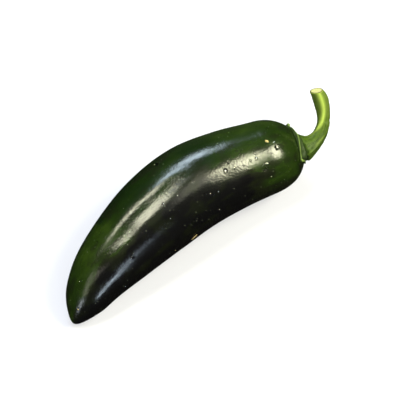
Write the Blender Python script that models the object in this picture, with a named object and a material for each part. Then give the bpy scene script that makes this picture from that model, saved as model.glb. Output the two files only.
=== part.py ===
# A jalapeno pepper as picked, lying on its side: the pod, and its stem with the calyx.
# Lengths below are in millimetres and angles in degrees. The mesh is written in metres, +Z up.
# The origin is under the middle of the whole pepper, on the surface that it lies on.
# +X runs along the pod, from its tip to its stem, and the pod arches towards +Y.

import math

import bmesh
import bpy
from mathutils import Matrix, Vector
from mathutils.bvhtree import BVHTree

MM = 0.001
BELOW = -90.0  # the angle that points straight down, in a section of the pod

# The pod. Its length is the straight line from the tip to the seat of the calyx.
POD_LENGTH = 93.6
POD_WIDTH = 28.8
POD_ARCH = 10.7
ROUND_FULLNESS = 2.2
TIP_ROUND = 9.0
SHOULDER_ROUND = 13.5
SEAT_DEPTH = 1.7  # how far short of its full round the shoulder ends, in the seat of the calyx
SEAT_DISH = 0.3
SEAT_RINGS = (0.8, 0.4)
SEAT_LIFT = 8.0
RESTING_FLAT = 0.3  # how far the lowest skin is pressed flat where the pod lies

# Share of the length, share of the arch, share of the half width.
POD_STATIONS = (
    (0.00, 0.14, 0.27),
    (0.08, 0.45, 0.49),
    (0.18, 0.73, 0.69),
    (0.31, 0.90, 0.855),
    (0.45, 1.00, 0.97),
    (0.60, 0.98, 1.00),
    (0.74, 0.74, 0.945),
    (0.87, 0.40, 0.87),
    (1.00, 0.05, 0.84),
)

# The pod's three low lobes, and the shallow furrow along its upper side near the tip.
LOBES = 3
LOBE_DEPTH = 0.018
LOBE_VALLEY = 105.0
FURROW_DEPTH = 0.45
FURROW_HALF_WIDTH = 13.0
FURROW_SHARES = (0.04, 0.62)
FURROW_ANGLES = (119.0, 76.0)

# The calyx, a thin cap on the seat, with a raised rim and small round teeth on it.
CALYX_RADIUS = 6.6
CALYX_GAP = 0.3
RIM_HEIGHT = 0.42
RIM_WIDTH = 0.35
UNDERSIDE_RADII = (2.2, 4.4, 5.6)
TOOTH_HALF_WIDTH = 6.5
TOOTH_RISE = 0.6  # how far a tooth rises, as a share of how far it stands out
# Angle round the calyx, and how far each tooth stands out.
TEETH = ((14.0, 1.3), (72.0, 0.25), (150.0, 0.9), (204.0, 0.5), (262.0, 0.8), (318.0, 0.5))
# Radius, height over the seat, how far towards the outside of the hook.
CALYX_SLOPE = ((5.9, 0.5, 0.3), (5.4, 0.9, 0.85), (4.8, 1.6, 1.4))
STEM_START = (1.6, 2.4)  # how far towards the outside of the hook, height over the seat

# The stem: a hook from the calyx to the cut, as a cubic curve.
STEM_REACH = (13.9, 7.45, 10.15)
STEM_START_PULL = 7.0
STEM_END_PULL = 9.0
STEM_END_DIRECTION = (0.0, 0.714, 0.70)
STEM_RIBS = 5
STEM_RIB_DEPTH = 0.05
# Share of the stem's length, radius.
STEM_STATIONS = (
    (0.00, 4.20),
    (0.12, 3.05),
    (0.26, 2.42),
    (0.40, 2.15),
    (0.55, 2.05),
    (0.70, 2.13),
    (0.88, 2.35),
    (1.00, 2.25),
)
# How far in from the stem's edge, how far past its end: the rounded edge and the dished face of the cut.
CUT_STEPS = ((0.1, 0.25), (0.35, 0.35), (1.1, 0.22))
CUT_DISH = 0.1

# How finely each piece is divided.
POD_RINGS = 64
POD_SIDES = 48
STEM_RINGS = 24
STEM_SIDES = 54
SHARP_ANGLE = 50.0


def smooth_through(stations, column, place):
    """The value at place of a smooth curve through one column of the stations."""
    last = len(stations) - 1

    def slope(index):
        before, after = stations[max(index - 1, 0)], stations[min(index + 1, last)]
        return (after[column] - before[column]) / (after[0] - before[0])

    place = min(max(place, stations[0][0]), stations[last][0])
    index = max(i for i in range(last) if stations[i][0] <= place)
    start, end = stations[index], stations[index + 1]
    span = end[0] - start[0]
    s = (place - start[0]) / span
    return (
        (2 * s**3 - 3 * s**2 + 1) * start[column]
        + (s**3 - 2 * s**2 + s) * span * slope(index)
        + (3 * s**2 - 2 * s**3) * end[column]
        + (s**3 - s**2) * span * slope(index + 1)
    )


def bump(distance, half_width):
    """A smooth hill of height 1 that falls to a third at half_width."""
    return math.exp(-((distance / half_width) ** 2))


def turn_between(first, second):
    """The angle from one direction round the piece to another, from -180 to 180."""
    return (first - second + 180.0) % 360.0 - 180.0


def fade(value, low, high):
    """0 up to low, 1 from high on, and smooth between."""
    s = min(max((value - low) / (high - low), 0.0), 1.0)
    return s * s * (3 - 2 * s)


def across(angle, side, up):
    """The direction at an angle from side towards up."""
    return math.cos(math.radians(angle)) * side + math.sin(math.radians(angle)) * up


def pod_lobes(share, angle):
    """The pod's radius in this direction, as a share of its half width there."""
    half_width = POD_WIDTH / 2 * smooth_through(POD_STATIONS, 2, share)
    lobe = -LOBE_DEPTH * fade(share, 0.1, 0.9) * math.cos(math.radians(LOBES * (angle - LOBE_VALLEY)))
    low, high = FURROW_SHARES
    along = (share - low) / (high - low)
    centre = FURROW_ANGLES[0] + along * (FURROW_ANGLES[1] - FURROW_ANGLES[0])
    strength = math.sin(math.pi * min(max(along, 0.0), 1.0)) ** 0.7
    furrow = FURROW_DEPTH * strength * bump(turn_between(angle, centre), FURROW_HALF_WIDTH)
    return 1 + lobe - furrow / half_width


def pod_rounding(share):
    """How far the blunt tip and the round shoulder draw the pod in, from 0 to 1."""
    from_tip = share * POD_LENGTH
    from_end = (1 - share) * POD_LENGTH + SEAT_DEPTH
    tip = max(1 - from_tip / TIP_ROUND, 0.0)
    shoulder = max(1 - from_end / SHOULDER_ROUND, 0.0)
    return math.sqrt((1 - tip**ROUND_FULLNESS) * (1 - shoulder**ROUND_FULLNESS))


def pod_middle(share):
    """The middle of the pod's section at a share of its length."""
    half_width = POD_WIDTH / 2 * smooth_through(POD_STATIONS, 2, share)
    return Vector(
        (
            (share - 0.5) * POD_LENGTH,
            POD_ARCH * smooth_through(POD_STATIONS, 1, share),
            half_width * pod_lobes(share, BELOW) - RESTING_FLAT,
        )
    )


def pod_frame(share):
    """The section's middle, the way that the pod runs there, and the two directions across it."""
    step = 0.01
    along = pod_middle(min(share + step, 1.0)) - pod_middle(max(share - step, 0.0))
    turn = math.atan2(along.y, along.x)
    lift = math.radians(SEAT_LIFT) * fade(share, 0.85, 1.0)
    heading = Vector((math.cos(lift) * math.cos(turn), math.cos(lift) * math.sin(turn), math.sin(lift)))
    side = Vector((-math.sin(turn), math.cos(turn), 0))
    return pod_middle(share), heading, side, heading.cross(side)


def pod_ring(share):
    middle, _, side, up = pod_frame(share)
    width = POD_WIDTH / 2 * smooth_through(POD_STATIONS, 2, share) * pod_rounding(share)
    ring = []
    for i in range(POD_SIDES):
        angle = 360.0 * i / POD_SIDES
        radius = width * pod_lobes(share, angle)
        point = middle + radius * across(angle, side, up)
        point.z = max(point.z, 0.0)
        ring.append(point)
    return ring


def loft(name, first, rings, last, finish):
    """A closed skin from the point first, over the rings, to the point last."""
    shape = bmesh.new()
    start = shape.verts.new(first * MM)
    loops = [[shape.verts.new(point * MM) for point in ring] for ring in rings]
    end = shape.verts.new(last * MM)
    sides = len(loops[0])
    for i in range(sides):
        j = (i + 1) % sides
        shape.faces.new((start, loops[0][j], loops[0][i]))
        for lower, upper in zip(loops, loops[1:]):
            shape.faces.new((lower[i], lower[j], upper[j], upper[i]))
        shape.faces.new((end, loops[-1][i], loops[-1][j]))
    bmesh.ops.recalc_face_normals(shape, faces=shape.faces)
    mesh = bpy.data.meshes.new(name)
    shape.to_mesh(mesh)
    shape.free()
    mesh.shade_smooth()
    mesh.set_sharp_from_angle(angle=math.radians(SHARP_ANGLE))
    mesh.materials.append(finish)
    piece = bpy.data.objects.new(name, mesh)
    bpy.context.scene.collection.objects.link(piece)
    return piece


def make_pod(finish):
    shares = [0.5 - 0.5 * math.cos(math.pi * i / POD_RINGS) for i in range(1, POD_RINGS + 1)]
    rings = [pod_ring(share) for share in shares]
    middle, axis = pod_frame(1)[:2]
    bottom = middle - SEAT_DISH * axis
    edge = rings[-1]
    for share_in in SEAT_RINGS:
        rings.append([bottom + share_in * (point - middle) for point in edge])
    return loft("pod", pod_middle(0), rings, bottom, finish)


def tooth_at(angle):
    return sum(length * bump(turn_between(angle, at), TOOTH_HALF_WIDTH) for at, length in TEETH)


def cap_ring(skin, radius, reach, height):
    """A ring at a height over the pod's skin. reach is how much of each tooth its radius takes in."""
    middle, axis, side, up = pod_frame(1)
    ring = []
    for i in range(STEM_SIDES):
        angle = 360.0 * i / STEM_SIDES
        out = (radius + reach * tooth_at(angle)) * across(angle, side, up)
        hit = skin.ray_cast((middle + out + 20 * axis) * MM, -axis)[0] / MM
        ring.append(hit + (CALYX_GAP + height(angle)) * axis)
    return ring


def slope_ring(radius, height, outward):
    """A ring of the slope from the calyx's rim up to the stem."""
    middle, axis, side, up = pod_frame(1)
    centre = middle + height * axis - outward * side
    angles = [360.0 * i / STEM_SIDES for i in range(STEM_SIDES)]
    return [centre + rib(radius, 0, angle) * across(angle, side, up) for angle in angles]


def rib(radius, share, angle):
    """The stem's radius in one direction, with its ribs, which fade towards the cut."""
    return radius * (1 + STEM_RIB_DEPTH * (1 - share) * math.cos(math.radians(STEM_RIBS * angle)))


def stem_curve(t):
    """A point on the stem's middle line, from the calyx at 0 to the cut at 1."""
    middle, axis, side, _ = pod_frame(1)
    outward, height = STEM_START
    start = middle + height * axis - outward * side
    end = middle + Vector(STEM_REACH)
    first = start + STEM_START_PULL * axis
    second = end - STEM_END_PULL * Vector(STEM_END_DIRECTION)
    return (1 - t) ** 3 * start + 3 * (1 - t) ** 2 * t * first + 3 * (1 - t) * t**2 * second + t**3 * end


def hook_rings():
    """The stem's rings from the calyx to the cut, each square to its middle line."""
    heading, side = pod_frame(1)[1:3]
    step = 0.005
    rings = []
    for i in range(STEM_RINGS + 1):
        share = i / STEM_RINGS
        onward = (stem_curve(min(share + step, 1)) - stem_curve(max(share - step, 0))).normalized()
        side = heading.rotation_difference(onward) @ side
        heading = onward
        up = heading.cross(side)
        radius = smooth_through(STEM_STATIONS, 1, share)
        angles = [360.0 * k / STEM_SIDES for k in range(STEM_SIDES)]
        rings.append(
            [stem_curve(share) + rib(radius, share, angle) * across(angle, side, up) for angle in angles]
        )
    return rings, heading


def make_stem(pod, finish):
    """The calyx and the stem in one skin: out under the cap, round its rim, up its slope and on to the cut."""
    shape = bmesh.new()
    shape.from_mesh(pod.data)
    skin = BVHTree.FromBMesh(shape)
    shape.free()

    def flush(angle):
        return 0.0

    def rim(angle):
        return RIM_HEIGHT + TOOTH_RISE * tooth_at(angle)

    def waist(angle):
        return 0.5 * rim(angle)

    inner, outer = CALYX_RADIUS - RIM_WIDTH, CALYX_RADIUS
    rings = [cap_ring(skin, radius, 0, flush) for radius in UNDERSIDE_RADII]
    rings.append(cap_ring(skin, inner, 0.7, flush))
    rings.append(cap_ring(skin, outer, 1.0, waist))
    rings.append(cap_ring(skin, inner, 0.6, rim))
    rings += [slope_ring(*step) for step in CALYX_SLOPE]
    hook, heading = hook_rings()
    rings += hook
    end = stem_curve(1)
    cut_radius = STEM_STATIONS[-1][1]
    for inset, past in CUT_STEPS:
        rings.append([end + (1 - inset / cut_radius) * (point - end) + past * heading for point in hook[-1]])
    middle, axis = pod_frame(1)[:2]
    first = middle + (CALYX_GAP - SEAT_DISH) * axis
    return loft("stem", first, rings, end + CUT_DISH * heading, finish)


def skin_finish(name, colour, roughness):
    finish = bpy.data.materials.new(name)
    finish.use_nodes = True
    shader = finish.node_tree.nodes["Principled BSDF"]
    shader.inputs["Base Color"].default_value = (*colour, 1)
    shader.inputs["Roughness"].default_value = roughness
    shader.inputs["Metallic"].default_value = 0
    return finish


def set_origin_under_middle(pieces):
    """Moves the pieces together so that the origin is under the middle of their box."""
    points = [vertex.co for piece in pieces for vertex in piece.data.vertices]
    low = Vector([min(point[i] for point in points) for i in range(3)])
    high = Vector([max(point[i] for point in points) for i in range(3)])
    middle = (low + high) / 2
    for piece in pieces:
        piece.data.transform(Matrix.Translation((-middle.x, -middle.y, 0)))


def main():
    for old in list(bpy.data.objects):
        bpy.data.objects.remove(old)
    pod = make_pod(skin_finish("pod_skin", (0.012, 0.030, 0.008), 0.25))
    stem = make_stem(pod, skin_finish("stem_skin", (0.16, 0.30, 0.03), 0.5))
    set_origin_under_middle([pod, stem])


main()
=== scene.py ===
import math
import random

import bmesh
import bpy
from mathutils import Matrix, Vector, noise
from mathutils.bvhtree import BVHTree


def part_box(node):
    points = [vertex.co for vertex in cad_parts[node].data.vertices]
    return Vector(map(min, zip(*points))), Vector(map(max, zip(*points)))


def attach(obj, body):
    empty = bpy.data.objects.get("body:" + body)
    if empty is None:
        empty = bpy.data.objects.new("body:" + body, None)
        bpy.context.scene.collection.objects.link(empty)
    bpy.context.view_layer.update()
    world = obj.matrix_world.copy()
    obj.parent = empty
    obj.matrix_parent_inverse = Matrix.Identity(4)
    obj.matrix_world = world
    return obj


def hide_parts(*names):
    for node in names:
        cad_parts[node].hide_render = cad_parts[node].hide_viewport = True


# A jalapeno pepper lying on its side, wet in places, on a pale floor.
# Sizes are in millimetres and angles in degrees, unless a note says otherwise.
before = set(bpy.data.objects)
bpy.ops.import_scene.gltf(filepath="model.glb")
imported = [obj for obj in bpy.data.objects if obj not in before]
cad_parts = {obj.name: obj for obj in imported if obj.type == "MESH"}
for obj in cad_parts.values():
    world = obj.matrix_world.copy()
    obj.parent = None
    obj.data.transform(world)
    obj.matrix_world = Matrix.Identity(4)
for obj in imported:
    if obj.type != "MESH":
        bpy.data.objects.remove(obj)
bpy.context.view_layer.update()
mm = 0.001
below = -90.0  # straight down, in a section of the pod


# curves that the pod and the stem share

def between(s, start, leave, end, arrive):  # from start to end, with these slopes there
    return (
        (2 * s**3 - 3 * s**2 + 1) * start
        + (s**3 - 2 * s**2 + s) * leave
        + (3 * s**2 - 2 * s**3) * end
        + (s**3 - s**2) * arrive
    )


def throughStations(stations, column, place):  # a smooth curve through one column of the stations
    last = len(stations) - 1

    def slope(index):
        before, after = stations[max(index - 1, 0)], stations[min(index + 1, last)]
        return (after[column] - before[column]) / (after[0] - before[0])

    place = min(max(place, stations[0][0]), stations[last][0])
    index = max(i for i in range(last) if stations[i][0] <= place)
    start, end = stations[index], stations[index + 1]
    span = end[0] - start[0]
    s = (place - start[0]) / span
    return between(s, start[column], span * slope(index), end[column], span * slope(index + 1))


def hill(distance, halfWidth):  # 1 in the middle, a third at halfWidth
    return math.exp(-((distance / halfWidth) ** 2))


def turnBetween(first, second):  # from -180 to 180
    return (first - second + 180.0) % 360.0 - 180.0


def fade(value, low, high):  # 0 up to low, 1 from high on
    s = min(max((value - low) / (high - low), 0.0), 1.0)
    return s * s * (3 - 2 * s)


def within(value, start, full, fading, end):  # 0 up to start, 1 from full to fading, 0 from end on
    return fade(value, start, full) * (1 - fade(value, fading, end))


def across(angle, side, up):  # the way at an angle in a section, or a value there
    return math.cos(math.radians(angle)) * side + math.sin(math.radians(angle)) * up


def closedSkin(shape, start, loops, end):  # faces from one corner over loops of corners to another
    sides = len(loops[0])
    for i in range(sides):
        j = (i + 1) % sides
        shape.faces.new((start, loops[0][j], loops[0][i]))
        for lower, upper in zip(loops, loops[1:]):
            shape.faces.new((lower[i], lower[j], upper[j], upper[i]))
        shape.faces.new((end, loops[-1][i], loops[-1][j]))


def finished(name, shape):
    bmesh.ops.recalc_face_normals(shape, faces=shape.faces)
    mesh = bpy.data.meshes.new(name)
    shape.to_mesh(mesh)
    shape.free()
    mesh.shade_smooth()
    piece = bpy.data.objects.new(name, mesh)
    bpy.context.scene.collection.objects.link(piece)
    return piece


def shelled(name, first, rings, last, marks):
    # a closed skin from a point over rings of points to a point
    # marks hold, for each attribute, its value at first, its rows for the rings and its value at last
    shape = bmesh.new()
    start = shape.verts.new(first * mm)
    loops = [[shape.verts.new(point * mm) for point in ring] for ring in rings]
    closedSkin(shape, start, loops, shape.verts.new(last * mm))
    piece = finished(name, shape)
    for title, (atFirst, rows, atLast) in marks.items():
        values = [atFirst] + [value for row in rows for value in row] + [atLast]
        if isinstance(atFirst, Vector):
            layer = piece.data.attributes.new(title, "FLOAT_VECTOR", "POINT")
            layer.data.foreach_set("vector", [part for value in values for part in value])
        else:
            piece.data.attributes.new(title, "FLOAT", "POINT").data.foreach_set("value", values)
    return piece


def skinOf(piece):
    shape = bmesh.new()
    shape.from_mesh(piece.data)
    skin = BVHTree.FromBMesh(shape)
    shape.free()
    return skin


# the camera, at the photograph's viewing angle

cameraView = {
    "aim": (1.534, -6.272, 13.0),
    "azimuth": -39.4,
    "elevation": 70.0,
    "lens": 100.0,
    "sensor": 36.0,
    "distance": 375.56,
    "frame": 416,  # the photograph's width and height in pixels
}


def cameraAxes():  # towards the camera, to its right and upwards in its picture
    azimuth, elevation = (math.radians(cameraView[key]) for key in ("azimuth", "elevation"))
    level = math.cos(elevation)
    back = Vector((math.sin(azimuth) * level, -math.cos(azimuth) * level, math.sin(elevation)))
    right = Vector((math.cos(azimuth), math.sin(azimuth), 0))
    return back, right, back.cross(right)


def cameraPlace():
    return Vector(cameraView["aim"]) + cameraView["distance"] * cameraAxes()[0]


def makeCamera():
    lens = bpy.data.cameras.new("camera")
    lens.lens = cameraView["lens"]
    lens.sensor_width = cameraView["sensor"]
    camera = bpy.data.objects.new("camera", lens)
    back, right, up = cameraAxes()
    turned = Matrix((right, up, back)).transposed().to_4x4()
    camera.matrix_world = Matrix.Translation(cameraPlace() * mm) @ turned
    bpy.context.scene.collection.objects.link(camera)
    bpy.context.scene.camera = camera


def towardsPixel(pixel):  # the way from the camera through a pixel of the photograph
    back, right, up = cameraAxes()
    half = cameraView["frame"] / 2
    scale = cameraView["sensor"] / cameraView["lens"] / cameraView["frame"]
    return (right * (pixel[0] - half) * scale + up * (half - pixel[1]) * scale - back).normalized()


# the pod

podShape = {
    "length": 93.6,  # straight from the tip to the seat of the calyx
    "width": 28.8,
    "arch": 10.7,
    "roundFullness": 2.2,
    "tipRound": 9.0,
    "shoulderRound": 13.5,
    "seatDepth": 1.7,
    "seatDish": 0.3,
    "seatRim": 0.2,  # share of the seat over which the dish sinks in
    "seatRings": (0.97, 0.9, 0.8, 0.6, 0.4, 0.2),
    "seatLift": (8.0, 0.85),  # how far the stem end tips up, and the share of the length where that starts
    # where the calyx presses the shoulder in: angle, half width, depth, share where it starts
    "seatPress": (150.0, 48.0, 0.45, 0.93),
    "restingFlat": 0.3,
    # share of the length, share of the arch, share of the half width
    "stations": (
        (0.00, 0.14, 0.27),
        (0.08, 0.45, 0.49),
        (0.18, 0.73, 0.69),
        (0.31, 0.90, 0.855),
        (0.45, 1.00, 0.97),
        (0.60, 0.98, 1.00),
        (0.74, 0.74, 0.945),
        (0.87, 0.40, 0.87),
        (1.00, 0.05, 0.84),
    ),
    "lobes": 3,
    "lobeDepth": 0.018,
    "lobeFade": (0.1, 0.9),  # they grow between these shares of the length
    "lobeValley": 105.0,
    # the furrow along the top: share of the length, angle, half width, depth
    "furrow": (
        (0.10, 97.0, 13.0, 0.00),
        (0.20, 91.0, 14.0, 0.35),
        (0.31, 92.5, 14.0, 0.74),
        (0.36, 91.2, 13.2, 0.72),
        (0.41, 92.0, 13.2, 0.72),
        (0.44, 91.5, 12.8, 0.64),
        (0.47, 91.5, 12.2, 0.58),
        (0.515, 90.5, 12.0, 0.54),
        (0.56, 90.0, 11.5, 0.38),
        (0.61, 90.0, 10.5, 0.13),
        (0.67, 91.0, 10.0, 0.00),
    ),
    "waves": ((0.04, 13.0), (0.02, 5.0)),  # height and size of the skin's slow waves
    "waveFade": (2.0, 6.0),  # they grow between these distances from the middle line
    "rings": 240,
    "sides": 180,
    # where the ripe side starts: share of the length, angle, how soft, how ripe
    "ripeEdge": (
        (0.00, 84.0, 30.0, 0.85),
        (0.05, 98.0, 16.0, 0.9),
        (0.10, 102.0, 9.0, 1.0),
        (0.185, 99.0, 9.0, 1.0),
        (0.26, 107.0, 12.0, 1.0),
        (0.41, 104.0, 14.0, 1.0),
        (0.55, 104.0, 18.0, 1.0),
        (0.70, 108.0, 22.0, 1.0),
        (0.79, 118.0, 22.0, 0.80),
        (0.86, 136.0, 22.0, 0.38),
        (1.00, 140.0, 22.0, 0.25),
    ),
    "ripeBack": (290.0, 25.0),  # the angle where the ripe side ends underneath, and how soft
    "greenAngle": 20.0,  # well inside the green side
    "tipLook": (1.0, 0.5),  # how ripe and how deep green the very tip is
    "seatLook": (0.3, 0.5),  # and the middle of the seat
    # share of the length, how deep the green is
    "deepStations": ((0.00, 0.45), (0.08, 0.30), (0.22, 0.10), (0.32, 0.70), (0.42, 0.95), (0.62, 0.90),
                     (0.74, 0.45), (0.82, 0.24), (0.92, 0.28), (1.00, 0.55)),
    # the very deep green patch: angle, half width, and how deep
    "darkPatch": (30.0, 24.0, 1.6),
    "darkShares": (0.262, 0.282, 0.36, 0.60),  # shares where it starts, is full, fades and ends
}


def podHalfWidth(share):
    return podShape["width"] / 2 * throughStations(podShape["stations"], 2, share)


def podLobes(share, angle):  # the radius in this direction, as a share of the half width
    turn = math.radians(podShape["lobes"] * (angle - podShape["lobeValley"]))
    lobe = -podShape["lobeDepth"] * fade(share, *podShape["lobeFade"]) * math.cos(turn)
    centre, halfWidth, deep = (throughStations(podShape["furrow"], column, share) for column in (1, 2, 3))
    furrow = max(deep, 0.0) * hill(turnBetween(angle, centre), halfWidth)
    return 1 + lobe - furrow / podHalfWidth(share)


def podRounding(share):  # how far the blunt tip and the round shoulder draw the pod in
    fromTip = share * podShape["length"]
    fromEnd = (1 - share) * podShape["length"] + podShape["seatDepth"]
    tip = max(1 - fromTip / podShape["tipRound"], 0.0)
    shoulder = max(1 - fromEnd / podShape["shoulderRound"], 0.0)
    full = podShape["roundFullness"]
    return math.sqrt((1 - tip**full) * (1 - shoulder**full))


def podMiddle(share):
    height = podHalfWidth(share) * podLobes(share, below) - podShape["restingFlat"]
    sideways = podShape["arch"] * throughStations(podShape["stations"], 1, share)
    return Vector(((share - 0.5) * podShape["length"], sideways, height))


def podFrame(share):  # the section's middle, the way that the pod runs, and two directions across it
    step = 0.01
    along = podMiddle(min(share + step, 1.0)) - podMiddle(max(share - step, 0.0))
    turn = math.atan2(along.y, along.x)
    highest, start = podShape["seatLift"]
    lift = math.radians(highest) * fade(share, start, 1.0)
    heading = Vector((math.cos(lift) * math.cos(turn), math.cos(lift) * math.sin(turn), math.sin(lift)))
    side = Vector((-math.sin(turn), math.cos(turn), 0))
    return podMiddle(share), heading, side, heading.cross(side)


def ripeness(share, angle):
    edge, soft, most = (throughStations(podShape["ripeEdge"], column, share) for column in (1, 2, 3))
    back, backSoft = podShape["ripeBack"]
    angle = (angle - podShape["greenAngle"]) % 360.0 + podShape["greenAngle"]
    ripe = most * fade(angle, edge - soft, edge + soft)
    return ripe * (1 - fade(angle, back - backSoft, back + backSoft))


def deepness(share, angle):
    at, halfWidth, deep = podShape["darkPatch"]
    start, full, fading, end = podShape["darkShares"]
    patch = hill(turnBetween(angle, at), halfWidth) * within(share, start, full, fading, end)
    return max(throughStations(podShape["deepStations"], 1, share), deep * patch)


def podWave(point):
    return sum(height * noise.noise(point / size) for height, size in podShape["waves"])


def podRing(share):
    middle, heading, side, up = podFrame(share)
    pressAt, pressWide, press, pressFrom = podShape["seatPress"]
    width = podHalfWidth(share) * podRounding(share)
    ring, places, ripe, deep = [], [], [], []
    for i in range(podShape["sides"]):
        angle = 360.0 * i / podShape["sides"]
        turn = math.radians(angle)
        radius = width * podLobes(share, angle)
        outward = across(angle, side, up)
        point = middle + radius * outward
        point += podWave(point) * fade(radius, *podShape["waveFade"]) * outward
        pressed = press * hill(turnBetween(angle, pressAt), pressWide) * fade(share, pressFrom, 1.0)
        point -= pressed * heading
        point.z = max(point.z, 0.0)
        ring.append(point)
        along = share * podShape["length"]
        places.append(Vector((along, radius * math.cos(turn), radius * math.sin(turn))))
        ripe.append(ripeness(share, angle))
        deep.append(deepness(share, angle))
    return ring, places, ripe, deep


def makePod():
    count = podShape["rings"]
    shares = [0.5 - 0.5 * math.cos(math.pi * i / count) for i in range(1, count + 1)]
    made = [podRing(share) for share in shares]
    rings, places, ripe, deep = ([row[k] for row in made] for k in range(4))
    middle, axis = podFrame(1)[:2]
    edge, edgePlaces = rings[-1], places[-1]
    for inwards in podShape["seatRings"]:
        sunk = podShape["seatDish"] * fade(1 - inwards, 0.0, podShape["seatRim"])
        rings.append([middle - sunk * axis + inwards * (point - middle) for point in edge])
        places.append([Vector((place.x, inwards * place.y, inwards * place.z)) for place in edgePlaces])
        ripe.append(ripe[-1])
        deep.append(deep[-1])
    tipRipe, tipDeep = podShape["tipLook"]
    seatRipe, seatDeep = podShape["seatLook"]
    marks = {
        "skinPlace": (Vector((0, 0, 0)), places, Vector((podShape["length"], 0, 0))),
        "ripe": (tipRipe, ripe, seatRipe),
        "deep": (tipDeep, deep, seatDeep),
    }
    return shelled("podSkin", podMiddle(0), rings, middle - podShape["seatDish"] * axis, marks)


# the stem and its calyx

stemShape = {
    "calyxRadius": 6.3,
    "gap": 0.1,  # from the pod's skin to the underside of the calyx
    # height of the calyx's edge, how much more where it is highest, the angle there, how wide
    "wall": (0.12, 0.62, 82.0, 30.0),
    "ridge": 0.19,  # half the thickness of the calyx's rolled edge
    "ridgeWaves": (0.07, 1.7),
    "drawn": (138.0, 0.8, 26.0),  # where the calyx reaches further down the pod, how far, how wide
    # angle round the calyx, how far the tooth stands out, radius of its bead, how wide it is drawn out
    "teeth": (
        (14.0, 1.15, 0.62, 7.5),
        (72.0, 0.05, 0.20, 7.5),
        (148.5, 1.30, 0.52, 11.0),
        (204.0, 0.12, 0.26, 12.0),
        (262.0, 0.70, 0.46, 13.0),
        (318.0, 0.40, 0.34, 10.0),
    ),
    "undersideRadii": (1.2, 2.4, 3.6, 4.8, 5.6),
    "edgeFoot": 0.7,  # where the rolled edge meets the pod, as a share of half its thickness outwards
    "roll": (-50.0, 155.0, 14),  # the rolled edge's first and last angle, and its steps
    "rollPale": (-30.0, 20.0),  # it turns pale between these angles
    "faceSteps": 44,
    "facePale": 0.06,  # share of the face where the pale of the edge ends
    # how the face leaves its edge, outwards and along the stem, and how it meets the stem
    "facePulls": (-2.6, 0.2, 22.0),
    # share of the calyx's face where the stem's foot starts, its swing, towards which angle
    "foot": (0.56, 0.2, 130.0),
    "footGroove": (0.42, 0.06),
    "footGreen": (-0.05, 0.12),  # the foot takes the stem's green between these, from its start
    "creaseWidth": 0.05,
    # angle and height of the swellings where the ribs run out on the foot
    "knobs": ((38.0, 0.22), (72.0, 0.2), (102.0, 0.34), (130.0, 0.48), (166.0, 0.25), (214.0, 0.3),
              (262.0, 0.25), (310.0, 0.3), (350.0, 0.25)),
    "knobSize": (0.17, 0.11, 10.0),  # how far past the foot's start, half width along and around
    "faceLumps": (0.12, 0.8),  # height and size
    "riseShares": (0.2, 0.9),  # the lumps are full from the first, and all fades out from the second
    "riseWay": (0.75, 0.66),  # outwards and along the stem
    "start": (1.6, 2.4),  # how far towards the outside of the hook, height over the seat
    "reach": (14.38, 7.55, 10.15),  # from the seat to the cut
    "startPull": 7.0,
    "endPull": 9.0,
    "endDirection": (0.0, 0.714, 0.70),
    "ribs": 5,
    "ribDepth": 0.05,
    # angle, height and half width of the sharp ribs up from the foot, and the share where each has run out
    "sharpRibs": (
        (146.0, 0.26, 6.0, 0.60),
        (208.0, 0.15, 7.0, 0.55),
        (100.0, 0.08, 6.0, 0.40),
        (62.0, 0.12, 6.0, 0.90),
        (300.0, 0.14, 7.0, 0.60),
    ),
    # height, size along and across, and the shares where they start, are full and have run out
    "wrinkles": (0.085, 0.34, 1.2, 0.02, 0.12, 0.75),
    "wrinkleTube": (25.0, 2.2),  # length and radius of the tube that they are drawn on
    "runOut": 0.6,  # ribs and wrinkles fade from this share of their way on
    "knee": (0.57, 185.0, 45.0, 0.14),  # share, angle and half width of the old knee, and its depth
    # half width of the knee's dent, how far before it the swelling is, its half width and height
    "kneeDent": (0.02, 0.06, 0.035, 0.8),
    "lumps": ((0.05, 1.6), (0.02, 0.5)),  # height and size of the stem's unevenness
    # share of the stem's length, radius
    "stations": (
        (0.00, 4.20),
        (0.12, 3.05),
        (0.26, 2.42),
        (0.40, 2.15),
        (0.55, 2.05),
        (0.70, 2.13),
        (0.88, 2.42),
        (1.00, 2.30),
    ),
    # how far in from the rim of the cut, how far past it
    "cutSteps": ((0.03, 0.12), (0.08, 0.22), (0.14, 0.31), (0.20, 0.37), (0.27, 0.41), (0.34, 0.42),
                 (0.42, 0.36), (0.60, 0.34), (1.1, 0.33), (1.7, 0.3)),
    "cutRim": 0.6,  # the rim's finish ends this far in
    "cutDish": 0.27,
    # how far the cut is out of square, towards +X and towards the stem's upper side, and from which share
    "cutSlant": (-0.46, -0.18, 0.76),
    # the fuller inner side below the cut: share, half width along, angle, half width around, height
    "belly": (0.77, 0.2, 0.0, 60.0, 0.42),
    # where the cut is rounded off: angle, half width, depth, share where it starts, how sharply it bends
    "shoulder": (185.0, 60.0, 0.5, 0.9, 2.5),
    "rings": 150,
    "sides": 216,
}


def stemAngles():
    return [360.0 * i / stemShape["sides"] for i in range(stemShape["sides"])]


def ridgeThickness(angle):  # half the thickness of the rolled edge, a round bead at each tooth
    height, size = stemShape["ridgeWaves"]
    turn = math.radians(angle)
    place = Vector((math.cos(turn), math.sin(turn), 0)) * stemShape["calyxRadius"]
    total = (stemShape["ridge"] + height * noise.noise(place / size)) ** 4
    for at, _, bead, _ in stemShape["teeth"]:
        away = math.radians(turnBetween(angle, at)) * stemShape["calyxRadius"]
        total += max(bead**2 - away**2, 0.0) ** 2
    return total**0.25


def ridgeRadius(angle):
    at, out, wide = stemShape["drawn"]
    drawn = out * hill(turnBetween(angle, at), wide)
    drawn += sum(out * hill(turnBetween(angle, at), wide) for at, out, _, wide in stemShape["teeth"])
    return stemShape["calyxRadius"] + drawn


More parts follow.
